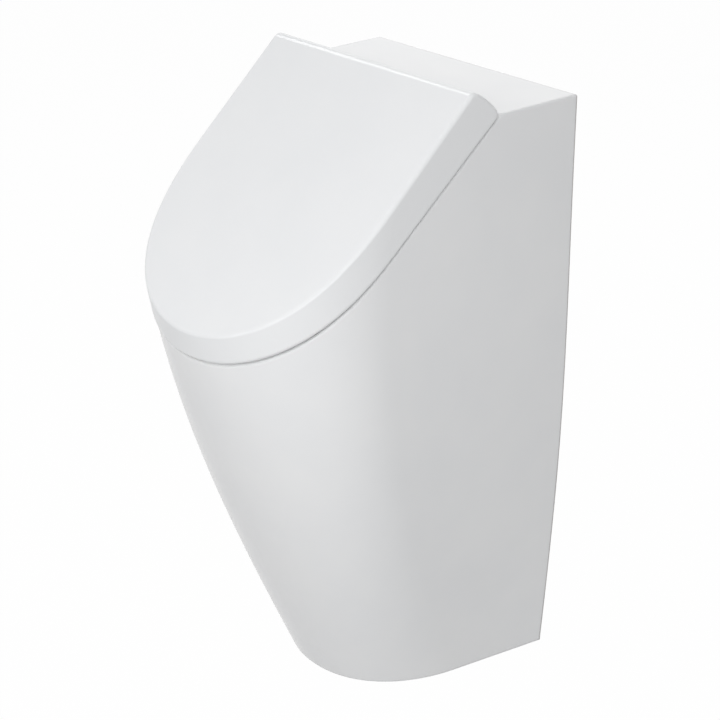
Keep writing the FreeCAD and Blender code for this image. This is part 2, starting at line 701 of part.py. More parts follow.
def flush_nozzle():
    """Flanged nozzle whose round head throws the flush down through a slot on its underside."""
    flange_back = nozzle_seat() + NOZZLE_SEAL
    flange_front = flange_back + NOZZLE_FLANGE
    head_straight = NOZZLE_HEAD - NOZZLE_HEAD_RADIUS
    tail = rod(NOZZLE_TAIL_RADIUS, at_inlet(-tail_end()), -TO_WALL, flange_back - tail_end())
    flange = rod(NOZZLE_FLANGE_RADIUS, at_inlet(-flange_back), -TO_WALL, NOZZLE_FLANGE)
    head = rod(NOZZLE_HEAD_RADIUS, at_inlet(-flange_front), -TO_WALL, head_straight)
    dome = Part.makeSphere(NOZZLE_HEAD_RADIUS, at_inlet(-flange_front - head_straight))
    nozzle = tail.fuse([flange, head, dome]).removeSplitter()
    bore = rod(NOZZLE_BORE_RADIUS, at_inlet(-tail_end()), -TO_WALL, flange_front + head_straight - tail_end())
    slot_half = NOZZLE_HEAD_RADIUS
    slot_corner = at_inlet(-flange_front - NOZZLE_SLOT) - ACROSS * slot_half - UP * NOZZLE_HEAD_RADIUS
    slot = Part.makeBox(slot_half * 2, NOZZLE_SLOT, NOZZLE_HEAD_RADIUS, slot_corner)
    return nozzle.cut([bore, slot])


def nozzle_seal():
    inner = NOZZLE_TAIL_RADIUS + RUNNING_CLEARANCE
    return tube(NOZZLE_FLANGE_RADIUS, inner, at_inlet(-nozzle_seat()), -TO_WALL, NOZZLE_SEAL)


def nozzle_washer():
    inner = NOZZLE_TAIL_RADIUS + RUNNING_CLEARANCE
    return tube(NOZZLE_WASHER_RADIUS, inner, at_inlet(CHINA_WALL - nozzle_seat()), TO_WALL, NOZZLE_WASHER)


def nozzle_locknut():
    inner = NOZZLE_TAIL_RADIUS + RUNNING_CLEARANCE
    start = at_inlet(CHINA_WALL + NOZZLE_WASHER - nozzle_seat())
    return hexagon_nut(NOZZLE_NUT_ACROSS, inner, start, TO_WALL, NOZZLE_NUT)


def inlet_tube():
    """Straight tube slipped over the nozzle's tail up to the locknut, with a wider socket at the wall face."""
    inner = NOZZLE_TAIL_RADIUS + RUNNING_CLEARANCE
    socket_radius = inner + INLET_SOCKET_STEP
    length = nozzle_seat() - CHINA_WALL - NOZZLE_WASHER - NOZZLE_NUT
    socket = rod(socket_radius, at_inlet(0), -TO_WALL, INLET_SOCKET_DEPTH)
    relief = rod(socket_radius + INLET_RELIEF_STEP, at_inlet(-INLET_SOCKET_DEPTH), -TO_WALL, INLET_RELIEF)
    return tube(inner + INLET_TUBE_WALL, inner, at_inlet(0), -TO_WALL, length).cut([socket, relief])


def inlet_wall_seal():
    inner = NOZZLE_TAIL_RADIUS + INLET_TUBE_WALL + RUNNING_CLEARANCE * 2
    plug = tube(inlet_seal_radius() - RUNNING_CLEARANCE, inner, at_inlet(0), -TO_WALL, PANEL_THICKNESS)
    lip_radius = inlet_seal_radius() + INLET_SEAL_LIP
    lip = tube(lip_radius, inner, at_inlet(-PANEL_THICKNESS), -TO_WALL, INLET_SEAL_LIP)
    return plug.fuse(lip).removeSplitter()


# Drain

def at_drain(height):
    return FreeCAD.Vector(0, -DRAIN_SETBACK, FLOOR + height)


def drain_body():
    """Flanged waste with a shallow seat for the strainer and a long tail that dips into the trap."""
    top = GASKET_THICKNESS + DRAIN_FLANGE
    bore = TAIL_RADIUS - TAIL_WALL
    outline = [
        (bore, -TAIL_LENGTH),
        (TAIL_RADIUS, -TAIL_LENGTH),
        (TAIL_RADIUS, GASKET_THICKNESS),
        (DRAIN_FLANGE_RADIUS, GASKET_THICKNESS),
        (DRAIN_FLANGE_RADIUS, top),
        (RECESS_RADIUS, top),
        (RECESS_RADIUS, top - RECESS_DEPTH),
        (bore, top - RECESS_DEPTH),
    ]
    return turned(outline, at_drain(0), UP)


def drain_gasket():
    inner = TAIL_RADIUS + RUNNING_CLEARANCE
    return tube(DRAIN_FLANGE_RADIUS, inner, at_drain(0), UP, GASKET_THICKNESS)


def drain_under_washer():
    inner = TAIL_RADIUS + RUNNING_CLEARANCE
    return tube(DRAIN_NUT_RADIUS, inner, at_drain(-FLOOR_THICKNESS), -UP, UNDER_WASHER)


def drain_locknut():
    """Round plastic nut with half-round grips cut into its edge."""
    start = at_drain(-FLOOR_THICKNESS - UNDER_WASHER)
    nut = tube(DRAIN_NUT_RADIUS, TAIL_RADIUS + RUNNING_CLEARANCE, start, -UP, DRAIN_NUT)
    grips = []
    for i in range(DRAIN_NUT_GRIPS):
        angle = 2 * math.pi * i / DRAIN_NUT_GRIPS
        out = FreeCAD.Vector(math.cos(angle), math.sin(angle), 0)
        grips.append(rod(GRIP_RADIUS, start + out * DRAIN_NUT_RADIUS, -UP, DRAIN_NUT))
    return nut.cut(grips)


def strainer():
    """Domed round grating that lifts out of the drain's seat."""
    radius = RECESS_RADIUS - SEAT_CLEARANCE
    seat = GASKET_THICKNESS + DRAIN_FLANGE - RECESS_DEPTH + SEAT_CLEARANCE
    under, over = [
        [FreeCAD.Vector(radius * out, 0, height + STRAINER_CROWN * up) for out, up in STRAINER_ARC_SHARES]
        for height in (seat, seat + STRAINER_THICKNESS)
    ]
    wire = Part.Wire([
        Part.Arc(*under).toShape(),
        Part.makeLine(under[-1], over[-1]),
        Part.Arc(*reversed(over)).toShape(),
        Part.makeLine(over[0], under[0]),
    ])
    grating = Part.Face(wire).revolve(FreeCAD.Vector(), UP, 360)
    grating.translate(at_drain(0))
    holes = [rod(STRAINER_HOLE_RADIUS, at_drain(0), UP, OVERRUN)]
    for count, share in zip(STRAINER_RING_COUNTS, STRAINER_RING_SHARES):
        for i in range(count):
            angle = 2 * math.pi * i / count
            out = FreeCAD.Vector(math.cos(angle), math.sin(angle), 0) * (radius * share)
            holes.append(rod(STRAINER_HOLE_RADIUS, at_drain(0) + out, UP, OVERRUN))
    return grating.cut(holes)


# Bottle trap and waste outlet

def trap_body():
    """Upper half of the bottle trap, with a collar for the tail and a branch towards the wall."""
    bottom = -TRAP_TOP_DROP - TRAP_BODY_HEIGHT
    bore = TAIL_RADIUS + SEAT_CLEARANCE
    seal_radius = TAIL_RADIUS + TAIL_SEAL_WIDTH
    collar_radius = seal_radius + COLLAR_WALL
    inside = TRAP_RADIUS - TRAP_WALL
    outline = [
        (bore, -TRAP_TOP_DROP),
        (seal_radius, -TRAP_TOP_DROP),
        (seal_radius, COLLAR_HEIGHT - TRAP_TOP_DROP),
        (collar_radius, COLLAR_HEIGHT - TRAP_TOP_DROP),
        (collar_radius, -TRAP_TOP_DROP),
        (TRAP_RADIUS, -TRAP_TOP_DROP),
        (TRAP_RADIUS, bottom),
        (inside, bottom),
        (inside, -TRAP_TOP_DROP - TRAP_WALL),
        (bore, -TRAP_TOP_DROP - TRAP_WALL),
    ]
    shell = turned(outline, at_drain(0), UP)
    branch_radius = OUTLET_RADIUS - OUTLET_WALL - SEAT_CLEARANCE
    start = FreeCAD.Vector(0, -DRAIN_SETBACK, OUTLET_Z)
    length = DRAIN_SETBACK - OUTLET_SPIGOT_LENGTH + OUTLET_LAP
    core = rod(inside, at_drain(bottom), UP, TRAP_BODY_HEIGHT)
    branch = rod(branch_radius, start, TO_WALL, length).cut(core)
    bore_cut = rod(branch_radius - OUTLET_WALL, start, TO_WALL, length)
    return shell.fuse(branch).removeSplitter().cut(bore_cut)


def tail_seal():
    inner = TAIL_RADIUS + RUNNING_CLEARANCE
    outer = TAIL_RADIUS + TAIL_SEAL_WIDTH - RUNNING_CLEARANCE
    return tube(outer, inner, at_drain(-TRAP_TOP_DROP), UP, TAIL_SEAL_HEIGHT)


def trap_cup():
    """Screw-on lower half of the trap, taken off from below for cleaning."""
    seat = -TRAP_TOP_DROP - TRAP_BODY_HEIGHT - TRAP_SEAL_HEIGHT
    rim = seat + TRAP_SEAL_HEIGHT + CUP_LAP
    bottom = rim - CUP_HEIGHT
    socket = TRAP_RADIUS + SEAT_CLEARANCE
    inside = TRAP_RADIUS - TRAP_WALL
    outline = [
        (0, bottom),
        (CUP_RADIUS, bottom),
        (CUP_RADIUS, rim),
        (socket, rim),
        (socket, seat),
        (inside, seat),
        (inside, bottom + CUP_WALL),
        (0, bottom + CUP_WALL),
    ]
    return turned(outline, at_drain(0), UP)


def trap_seal():
    start = at_drain(-TRAP_TOP_DROP - TRAP_BODY_HEIGHT - TRAP_SEAL_HEIGHT)
    return tube(TRAP_RADIUS, TRAP_RADIUS - TRAP_WALL, start, UP, TRAP_SEAL_HEIGHT)


def at_outlet(y):
    return FreeCAD.Vector(0, y, OUTLET_Z)


def outlet_pipe():
    """Spigot from the trap's branch to the wall face, with a stop ring in front of its nut."""
    bore = OUTLET_RADIUS - OUTLET_WALL
    pipe = tube(OUTLET_RADIUS, bore, at_outlet(0), -TO_WALL, OUTLET_SPIGOT_LENGTH)
    ring_start = at_outlet(OUTLET_NUT_LAP + SEAT_CLEARANCE - OUTLET_SPIGOT_LENGTH)
    ring = tube(OUTLET_RADIUS + OUTLET_STOP_STEP, bore, ring_start, TO_WALL, OUTLET_STOP)
    return pipe.fuse(ring).removeSplitter()


def outlet_seal():
    inner = OUTLET_RADIUS - OUTLET_WALL - SEAT_CLEARANCE + RUNNING_CLEARANCE
    start = at_outlet(-OUTLET_SPIGOT_LENGTH)
    return tube(OUTLET_RADIUS, inner, start, -TO_WALL, OUTLET_SEAL)


def outlet_nut():
    inner = OUTLET_RADIUS + RUNNING_CLEARANCE
    outer = inner + OUTLET_NUT_WALL
    start = at_outlet(OUTLET_NUT_LAP - OUTLET_SPIGOT_LENGTH)
    sleeve = tube(outer, inner, start, -TO_WALL, OUTLET_NUT_LAP + OUTLET_SEAL)
    lip_inner = OUTLET_RADIUS - OUTLET_WALL - SEAT_CLEARANCE + RUNNING_CLEARANCE
    lip = tube(outer, lip_inner, at_outlet(-OUTLET_SPIGOT_LENGTH - OUTLET_SEAL), -TO_WALL, OUTLET_NUT_LIP)
    return sleeve.fuse(lip).removeSplitter()


# Whole assembly

def assembly():
    pieces = {
        "china_shell": china_shell(),
        "bowl_upper": bowl_upper(),
        "bowl_lower": bowl_lower(),
        "fixing_sleeves": fixing_sleeves(),
        "fixing_washers": fixing_washers(),
        "hinge_studs": hinge_studs(),
        "hinge_sleeves": hinge_sleeves(),
        "hinge_washers": hinge_washers(),
        "hinge_nuts": hinge_nuts(),
        "flush_nozzle": flush_nozzle(),
        "nozzle_seal": nozzle_seal(),
        "nozzle_washer": nozzle_washer(),
        "nozzle_locknut": nozzle_locknut(),
        "inlet_tube": inlet_tube(),
        "inlet_wall_seal": inlet_wall_seal(),
        "drain_body": drain_body(),
        "drain_gasket": drain_gasket(),
        "drain_under_washer": drain_under_washer(),
        "drain_locknut": drain_locknut(),
        "strainer": strainer(),
        "trap_body": trap_body(),
        "tail_seal": tail_seal(),
        "trap_cup": trap_cup(),
        "trap_seal": trap_seal(),
        "outlet_pipe": outlet_pipe(),
        "outlet_seal": outlet_seal(),
        "outlet_nut": outlet_nut(),
        "lid_shell": lid_shell(),
        "lid_buffers": lid_buffers(),
    }
    for name, side in (("left", -1), ("right", 1)):
        pieces["hinge_post_" + name] = hinge_post(side)
        pieces["hinge_pin_" + name] = hinge_pin(side)
        pieces["hinge_bush_" + name] = hinge_bush(side)
        pieces["damper_" + name] = damper(side)
    return pieces


os.makedirs("parts", exist_ok=True)
for node, shape in assembly().items():
    shape.exportStep("parts/" + node + ".step")
    print(node, len(shape.Solids), shape.isValid(), round(shape.Volume))
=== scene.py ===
import json
import math

import bmesh
import bpy
from bpy.props import FloatProperty, FloatVectorProperty, IntProperty, PointerProperty
from mathutils import Matrix, Vector


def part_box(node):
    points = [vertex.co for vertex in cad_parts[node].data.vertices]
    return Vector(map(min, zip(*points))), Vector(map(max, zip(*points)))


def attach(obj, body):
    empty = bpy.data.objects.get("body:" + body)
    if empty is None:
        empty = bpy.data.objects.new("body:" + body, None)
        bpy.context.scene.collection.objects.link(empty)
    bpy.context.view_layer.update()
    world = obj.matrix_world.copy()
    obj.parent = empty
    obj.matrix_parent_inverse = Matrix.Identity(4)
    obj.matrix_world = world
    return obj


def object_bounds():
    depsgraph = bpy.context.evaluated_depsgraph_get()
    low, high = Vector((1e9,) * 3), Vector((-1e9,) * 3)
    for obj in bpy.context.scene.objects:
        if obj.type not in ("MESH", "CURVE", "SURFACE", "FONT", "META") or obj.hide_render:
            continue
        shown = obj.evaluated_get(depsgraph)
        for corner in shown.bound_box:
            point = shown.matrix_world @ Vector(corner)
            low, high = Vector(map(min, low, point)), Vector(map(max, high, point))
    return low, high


bl_info = {
    "name": "Wall Urinal Looks",
    "version": (1, 0, 0),
    "blender": (4, 5, 0),
    "location": "3D View > Sidebar > Urinal",
    "description": "Finishes and small details of a wall-hung urinal with a lid, and its white stage",
    "category": "Object",
}

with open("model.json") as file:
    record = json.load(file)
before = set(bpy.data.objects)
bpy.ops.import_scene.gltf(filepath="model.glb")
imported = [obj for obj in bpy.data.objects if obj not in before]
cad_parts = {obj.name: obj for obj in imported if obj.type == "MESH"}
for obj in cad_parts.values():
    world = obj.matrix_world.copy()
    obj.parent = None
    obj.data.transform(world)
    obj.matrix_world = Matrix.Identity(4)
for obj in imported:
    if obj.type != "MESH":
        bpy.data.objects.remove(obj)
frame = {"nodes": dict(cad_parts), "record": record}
CAD_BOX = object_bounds()
SLOT_OF_NODE = {part["node"]: part["material_slot"] for part in frame["record"]["subparts"]}
SLOT_COLOUR = {made["slot"]: tuple(made["base_color"][:3]) for made in frame["record"]["materials"]}


# Settings

def colour(label, text, default):
    return FloatVectorProperty(name=label, description=text, subtype="COLOR", size=3, min=0, max=1,
                               default=default)


def share(label, text, default):
    return FloatProperty(name=label, description=text, subtype="FACTOR", min=0, max=1, default=default)


def length(label, text, default):
    return FloatProperty(name=label, description=text, unit="LENGTH", precision=5, min=0, default=default)


def strength(label, text, default):
    return FloatProperty(name=label, description=text, min=0, default=default)


def direction(label, text, default):
    return FloatVectorProperty(name=label, description=text, subtype="DIRECTION", size=3, default=default)


def angle(label, text, degrees):
    return FloatProperty(name=label, description=text, unit="ROTATION", subtype="ANGLE",
                         default=math.radians(degrees))


def count(label, text, default):
    return IntProperty(name=label, description=text, min=3, default=default)


class ChinaSettings(bpy.types.PropertyGroup):
    glaze: colour("Glaze", "Colour of the fired glaze", (0.865, 0.870, 0.876))
    glaze_thick: colour("Thick glaze", "Colour where the glaze has pooled a little", (0.845, 0.852, 0.862))
    biscuit: colour("Biscuit", "Colour of the bare fired china on the wall face", (0.760, 0.735, 0.690))
    cavity: colour("Cavity glaze", "Colour of the thin glaze on the hidden faces", (0.800, 0.795, 0.775))
    # Painted shade: a dark grey laid over the glaze in narrow gaps, such as under the lid's edge, where shade
    # falls
    film: colour("Film", "Colour of the thin film that stays in narrow gaps", (0.400, 0.400, 0.402))
    gloss: share("Glaze roughness", "Roughness of the glaze on the faces that show", 0.22)
    gloss_change: share("Gloss change", "How far the glaze's roughness changes over its patches", 0.06)
    cavity_roughness: share("Cavity roughness", "Roughness of the thin glaze on the hidden faces", 0.48)
    biscuit_roughness: share("Biscuit roughness", "Roughness of the bare china", 0.86)
    specular: share("Specular level", "Reflection of the glaze below its clear coat", 0.05)
    coat: share("Coat", "Weight of the clear coat on the faces that show", 0.3)
    coat_roughness: share("Coat roughness", "Roughness of the clear coat", 0.08)
    mottle: share("Mottle", "How far the specks tone the bare china", 0.5)
    grit: share("Grit", "Height of the specks against that of the waves", 0.35)
    # Share and reach of that painted shade in the gaps
    film_share: share("Film share", "How far the film covers the glaze at the bottom of a gap", 0.65)
    film_reach: length("Film reach", "How far the film reaches out of a gap", 0.010)
    patch: length("Patch size", "Size of the slow changes in the glaze's colour", 0.09)
    gloss_patch: length("Gloss patch size", "Size of the slow changes in the glaze's roughness", 0.045)
    wave: length("Wave length", "Length of the slow waves in the glaze's surface", 0.045)
    wave_depth: length("Wave depth", "Depth of the slow waves in the glaze's surface", 0.00012)
    speck: length("Speck size", "Size of the specks in the thin glaze and the bare china", 0.0036)
    bare_depth: length("Bare edge", "How far the bare wall face reaches round its edge", 0.0009)
    edge: length("Edge softness", "Radius of the softened edges of the casting", 0.004)


class LidSettings(bpy.types.PropertyGroup):
    shade: colour("Lid", "Colour of the moulded lid", (0.857, 0.865, 0.875))
    shade_low: colour("Lid, toned", "Second tone of the moulded lid's faint clouding", (0.842, 0.852, 0.864))
    roughness: share("Lid roughness", "Roughness of the polished lid", 0.30)
    polish_change: share("Polish change", "How far the lid's roughness changes over its patches", 0.08)
    specular: share("Specular level", "Reflection of the lid below its clear coat", 0.05)
    coat: share("Coat", "Weight of the lid's clear coat", 0.4)
    coat_roughness: share("Coat roughness", "Roughness of the lid's clear coat", 0.08)
    cloud: length("Cloud size", "Size of the faint clouding in the lid's colour", 0.07)
    polish_patch: length("Polish patch size", "Size of the changes in the lid's roughness", 0.028)
    peel: length("Peel size", "Size of the moulded skin's fine dimples", 0.0035)
    peel_depth: length("Peel depth", "Depth of the moulded skin's fine dimples", 0.00002)


class FittingSettings(bpy.types.PropertyGroup):
    edge: length("Edge softness", "Radius of the softened edges on small fittings", 0.0005)
    flow: length("Mould flow", "Size of the clouding along the flow in moulded plastics", 0.0154)
    grain: length("Mould grain", "Size of the moulding grain on plastics", 0.0011)
    bloom: length("Bloom", "Size of the dusty patches on rubber", 0.0055)
    rubber_grain: length("Rubber grain", "Size of the moulding grain on rubber", 0.00055)
    brush: length("Brush lines", "Width of the lines on brushed and turned metal", 0.0004)
    spangle: length("Spangle", "Size of the crystals in the zinc plating", 0.0022)
    cast: length("Zinc cast", "Size of the warm patches on the zinc plating", 0.0066)
    smudge: length("Smudge", "Size of the water marks on chrome and of the tarnish on brass", 0.006)
    smudge_ring: length("Smudge ring", "Size of the rings in the water marks on chrome", 0.0084)
    rib_width: length("Rib width", "Width of the grip ribs on nut and cup", 0.0032)
    rib_height: length("Rib height", "How far the grip ribs stand proud", 0.0016)
    cup_ribs: count("Cup ribs", "Grip ribs round the trap's cup", 32)
    nut_ribs: count("Nut ribs", "Grip ribs round the outlet nut", 20)


class StageSettings(bpy.types.PropertyGroup):
    floor_drop: length("Floor drop", "Height of the hung urinal above the floor", 0.36)
    floor_span: length("Floor span", "Width of the square floor", 40.0)
    floor_shade: colour("Floor", "Colour of the pale floor as it is seen", (0.95, 0.95, 0.95))
    floor_bounce: colour("Floor bounce", "Colour of the light that the floor throws back up", (0.3, 0.3, 0.3))
    floor_glow: share("Floor glow", "Share of plain white in the floor as the camera sees it", 0.97)
    ambient: strength("Ambient", "Strength of the even light from all round", 0.56)
    front_light: strength("Front light", "Watts of the large lamp in front", 20.5)
    front_way: direction("Front lamp", "Way from the urinal to the lamp in front", (0.0, -0.985, 0.174))
    rear_light: strength("Rear light", "Watts of the large lamp above, behind and to the left", 11.6)
    rear_way: direction("Rear lamp", "Way from the urinal to the rear lamp", (-0.47, 0.671, 0.574))
    side_light: strength("Side light", "Watts of the nearer lamp in front on the right", 13.0)
    side_way: direction("Side lamp", "Way from the urinal to the side lamp", (0.74, -0.621, 0.259))
    heel_light: strength("Heel light", "Watts of the strip lamp that glints on the lid's heel", 11.0)
    heel_way: direction("Heel lamp", "Way from the urinal to the heel lamp", (-0.664, 0.069, 0.744))
    lamp_distance: length("Lamp distance", "Distance of the front, rear and heel lamps", 3.0)
    lamp_width: length("Lamp width", "Width of the front and rear lamps", 2.2)
    side_distance: length("Side lamp distance", "Distance of the side lamp", 1.8)
    side_width: length("Side lamp width", "Width of the side lamp", 1.4)
    heel_width: length("Heel lamp width", "Level width of the heel lamp", 1.1)
    heel_height: length("Heel lamp height", "Height of the heel lamp", 0.6)
    target: FloatVectorProperty(name="Target", description="Point that the camera and the lamps look at", size=3,
                                subtype="TRANSLATION", unit="LENGTH", default=(-0.00879, -0.1425, -0.2086))
    distance: length("Camera distance", "Distance of the camera from its target", 1.7424)
    azimuth: angle("Azimuth", "Turn of the camera to the right of the front", 49.424)
    elevation: angle("Elevation", "Height of the camera above the level view", 25.381)
    lens: FloatProperty(name="Lens", description="Focal length on a 36 mm sensor", unit="CAMERA", default=83.95)


class UrinalSettings(bpy.types.PropertyGroup):
    china: PointerProperty(type=ChinaSettings)
    lid: PointerProperty(type=LidSettings)
    fittings: PointerProperty(type=FittingSettings)
    stage: PointerProperty(type=StageSettings)


def settings():
    return bpy.context.scene.urinal


# Shader expressions

EDGE_SAMPLES = 4
GAP_SAMPLES = 8
# Places of a Mix node's colour sockets, which share their names with its other sockets
MIX_FACTOR, MIX_FIRST, MIX_SECOND, MIX_RESULT = 0, 6, 7, 2


class Signal:
    """A shader socket that works in Python expressions: each operator adds a Math node to the socket's tree."""

    def __init__(self, shader, socket):
        self.shader = shader
        self.socket = socket

    def maths(self, operation, first, second):
        return self.shader.node("ShaderNodeMath", {"operation": operation}, {0: first, 1: second})

    def other(self, name):
        """Another output of the same node."""
        return Signal(self.shader, self.socket.node.outputs[name])

    def __add__(self, value):
        return self.maths("ADD", self, value)

    def __radd__(self, value):
        return self.maths("ADD", value, self)

    def __sub__(self, value):
        return self.maths("SUBTRACT", self, value)

    def __rsub__(self, value):
        return self.maths("SUBTRACT", value, self)

    def __mul__(self, value):
        return self.maths("MULTIPLY", self, value)

    def __rmul__(self, value):
        return self.maths("MULTIPLY", value, self)

    def __gt__(self, value):
        return self.maths("GREATER_THAN", self, value)

    def __lt__(self, value):
        return self.maths("LESS_THAN", self, value)


class Shader:
    """The node tree of one finish or of the world."""

    def __init__(self, tree):
        self.tree = tree
        tree.nodes.clear()

    def node(self, kind, options=None, sockets=None, output=0):
        """Adds a node, sets its options, then its sockets' values or links, and returns one output."""
        made = self.tree.nodes.new(kind)
        for name, value in (options or {}).items():
            setattr(made, name, value)
        for name, value in (sockets or {}).items():
            if isinstance(value, Signal):
                self.tree.links.new(value.socket, made.inputs[name])
            else:
                made.inputs[name].default_value = value
        return Signal(self, made.outputs[output]) if made.outputs else None

    def position(self):
        return self.node("ShaderNodeTexCoord", output="Object")

    def stretched(self, factors):
        return self.node("ShaderNodeVectorMath", {"operation": "MULTIPLY"},
                         {0: self.position(), 1: factors}, "Vector")

    def noise(self, size, detail, where=None):
        sockets = {"Vector": where or self.position(), "Scale": 1 / size, "Detail": detail}
        return self.node("ShaderNodeTexNoise", None, sockets, "Fac")

    def cells(self, size, output):
        return self.node("ShaderNodeTexVoronoi", None, {"Vector": self.position(), "Scale": 1 / size}, output)

    def ramp(self, value, low, high):
        """Runs from 0 to 1 while the value runs from low to high."""
        sockets = {"Value": value, "From Min": low, "From Max": high}
        return self.node("ShaderNodeMapRange", {"clamp": True}, sockets, "Result")

    def patches(self, size, detail, low, high, where=None):
        """Soft-edged patches of a size, 0 where the noise is under low and 1 where it is over high."""
        return self.ramp(self.noise(size, detail, where), low, high)

    def mix(self, factor, first, second):
        """Mixes two colours, each a plain one or a socket."""
        sockets = {MIX_FACTOR: factor}
        for place, end in ((MIX_FIRST, first), (MIX_SECOND, second)):
            sockets[place] = end if isinstance(end, Signal) else (*end, 1.0)
        return self.node("ShaderNodeMix", {"data_type": "RGBA"}, sockets, MIX_RESULT)

    def bump(self, height, depth, edge=None):
        """Normals of a fine relief, over edges that are softened to a radius where one is given."""
        sockets = {"Strength": 1.0, "Distance": depth, "Height": height}
        if edge:
            sockets["Normal"] = self.node("ShaderNodeBevel", {"samples": EDGE_SAMPLES}, {"Radius": edge}, "Normal")
        return self.node("ShaderNodeBump", None, sockets, "Normal")

    def surface(self, sockets):
        made = self.node("ShaderNodeBsdfPrincipled", None, sockets, "BSDF")
        self.node("ShaderNodeOutputMaterial", None, {"Surface": made})


def new_finish(name):
    material = bpy.data.materials.new(name)
    material.use_nodes = True
    return material, Shader(material.node_tree)


def centred(mask, span):
    """A mask from 0 to 1, moved to run over a span about zero."""
    return (mask - 0.5) * span


def between(mask, low, high):
    """Runs from low to high while the mask runs from 0 to 1."""
    return low + mask * (high - low)


# China and lid

FACES_OUT, FACES_IN = 1, -1


def hidden_faces(shader, centre, shown):
    """1 on the faces of a shell that don't show, where those that do face out from the centre or in to it."""
    outward = shader.node("ShaderNodeVectorMath", {"operation": "SUBTRACT"},
                          {0: shader.position(), 1: centre}, "Vector")
    normal = shader.node("ShaderNodeNewGeometry", output="Normal")
    along = shader.node("ShaderNodeVectorMath", {"operation": "DOT_PRODUCT"}, {0: outward, 1: normal}, "Value")
    return along * shown < 0


def gap_occlusion(shader, reach):
    """Ambient occlusion, from 0 on open faces to 1 in the depth of narrow gaps, where the glaze gets painted
    shade.
    """
    return 1 - shader.node("ShaderNodeAmbientOcclusion", {"samples": GAP_SAMPLES}, {"Distance": reach}, "AO")


def glazed_china(name, centre, shown):
    """Glossy glaze with slow waves and faint pooling, thin on hidden faces and wiped off the wall face, and
    darkened with painted shade in narrow gaps.
    """
    china = settings().china
    material, shader = new_finish(name)
    speck = shader.patches(china.speck, detail=4, low=0.3, high=0.75)
    thin = hidden_faces(shader, centre, shown)
    depth = shader.node("ShaderNodeSeparateXYZ", None, {"Vector": shader.position()}, "Y")
    bare = depth + centred(speck, china.bare_depth) > -china.bare_depth

    pooling = shader.patches(china.patch, detail=3, low=0.35, high=0.65)
    glaze = shader.mix(pooling, china.glaze, china.glaze_thick)
    cavity = shader.mix(speck, china.cavity, china.glaze_thick)
    biscuit = shader.mix(speck * china.mottle, china.biscuit, china.cavity)
    fired = shader.mix(bare, shader.mix(thin, glaze, cavity), biscuit)
    # Painted shade: ambient occlusion darkens the glaze towards a dark grey in narrow gaps, such as under the
    # lid's edge, where shade falls
    film = gap_occlusion(shader, china.film_reach) * china.film_share

    polish = china.gloss + centred(shader.noise(china.gloss_patch, detail=2), china.gloss_change)
    covered = polish * (1 - thin) + thin * china.cavity_roughness
    waves = shader.noise(china.wave, detail=1)
    grit = (speck * thin + speck * bare) * china.grit
    shader.surface({
        # The base colour carries that painted shade in the gaps
        "Base Color": shader.mix(film, fired, china.film),
        "Roughness": covered * (1 - bare) + bare * china.biscuit_roughness,
        "Coat Weight": (1 - bare) * (1 - thin) * china.coat,
        "Coat Roughness": china.coat_roughness,
        "Specular IOR Level": china.specular,
        "Normal": shader.bump(waves + grit, china.wave_depth, china.edge),
    })
    return material


def moulded_lid(name):
    """Polished white thermoset with faint clouding and a fine dimpled skin."""
    lid = settings().lid
    material, shader = new_finish(name)
    clouding = shader.patches(lid.cloud, detail=3, low=0.3, high=0.7)
    polish = shader.noise(lid.polish_patch, detail=3)
    shader.surface({
        "Base Color": shader.mix(clouding, lid.shade, lid.shade_low),
        "Roughness": lid.roughness + centred(polish, lid.polish_change),
        "Coat Weight": lid.coat,
        "Coat Roughness": lid.coat_roughness,
        "Specular IOR Level": lid.specular,
        "Normal": shader.bump(shader.noise(lid.peel, detail=1), lid.peel_depth),
    })
    return material


# Fittings

def toned(shade, tone):
    """A colour, each part of it times the same part of a tone."""
    return tuple(part * factor for part, factor in zip(shade, tone))


# A stretch under 1 draws a pattern out along that axis, and a relief is a pattern's depth as a share of its size
PLASTIC_STRETCH = (1.0, 1.0, 0.35)
PLASTIC_TONE = (0.9, 0.9, 0.9)
PLASTIC_GLOSS_CHANGE = 0.16
PLASTIC_RELIEF = 1 / 60


def moulded_plastic(name, shade, roughness):
    """Moulded plastic with flow clouding, a fine grain and softened edges."""
    fittings = settings().fittings
    material, shader = new_finish(name)
    flow = shader.patches(fittings.flow, detail=3, low=0.35, high=0.7, where=shader.stretched(PLASTIC_STRETCH))
    grain = shader.noise(fittings.grain, detail=2)
    shader.surface({
        "Base Color": shader.mix(flow, shade, toned(shade, PLASTIC_TONE)),
        "Roughness": roughness + centred(grain, PLASTIC_GLOSS_CHANGE),
        "Normal": shader.bump(grain, fittings.grain * PLASTIC_RELIEF, fittings.edge),
    })
    return material


RUBBER_DUST_GREY = 0.5
RUBBER_DUST_SHARE = 0.16
RUBBER_ROUGHNESS = {"low": 0.68, "high": 0.88}
RUBBER_SPECULAR = 0.3
RUBBER_RELIEF = 2 / 25


def soft_rubber(name, shade):
    """Matt rubber with a pale dusty bloom."""
    fittings = settings().fittings
    material, shader = new_finish(name)
    bloom = shader.patches(fittings.bloom, detail=5, low=0.45, high=0.85)
    dusty = tuple(part + (RUBBER_DUST_GREY - part) * RUBBER_DUST_SHARE for part in shade)
    grain = shader.noise(fittings.rubber_grain, detail=3)
    shader.surface({
        "Base Color": shader.mix(bloom, shade, dusty),
        "Roughness": between(bloom, **RUBBER_ROUGHNESS),
        "Specular IOR Level": RUBBER_SPECULAR,
        "Normal": shader.bump(grain, fittings.rubber_grain * RUBBER_RELIEF, fittings.edge),
    })
    return material


STEEL_STRETCH_X = (0.04, 1.0, 1.0)
STEEL_STRETCH_Z = (1.0, 1.0, 0.04)
STEEL_TONE = (0.8, 0.8, 0.8)
STEEL_ROUGHNESS = {"low": 0.2, "high": 0.42}
STEEL_RELIEF = 1 / 30


